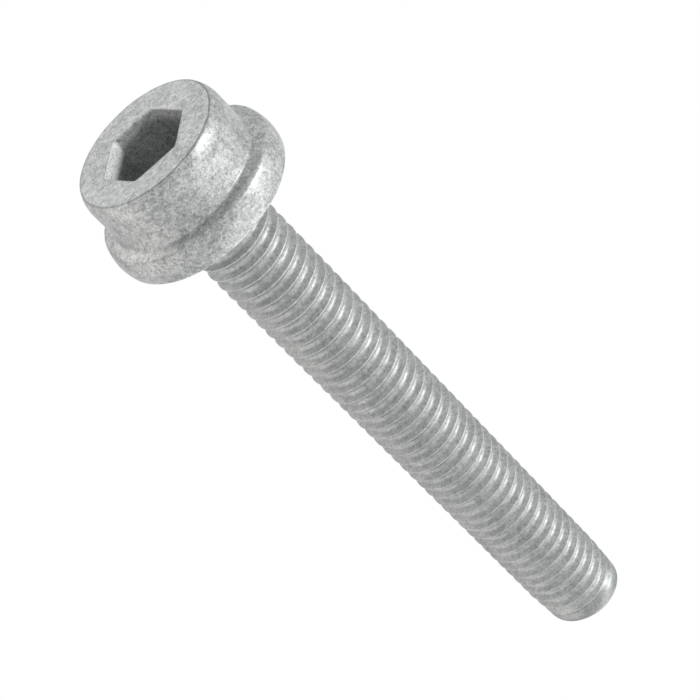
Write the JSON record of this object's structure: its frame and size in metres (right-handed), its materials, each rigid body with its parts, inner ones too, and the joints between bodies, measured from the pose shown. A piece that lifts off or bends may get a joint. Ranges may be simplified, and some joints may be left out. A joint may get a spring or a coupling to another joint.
{
  "type": "hex socket cap screw with collar",
  "caption": "Steel cap screw with a round head, a hexagon socket, an integral collar under the head and a metric thread along its whole shank.",
  "frame": {"origin": "centre of the head's end face, on which the screw stands", "axes": "+Z along the screw's axis, from the head towards the tip"},
  "size_m": [0.0126, 0.0126, 0.0503],
  "materials": {
    "coated_steel": "matte silver-grey zinc coating with a fine mottle"
  },
  "bodies": {
    "root": {"screw": "coated_steel"}
  },
  "joints": []
}
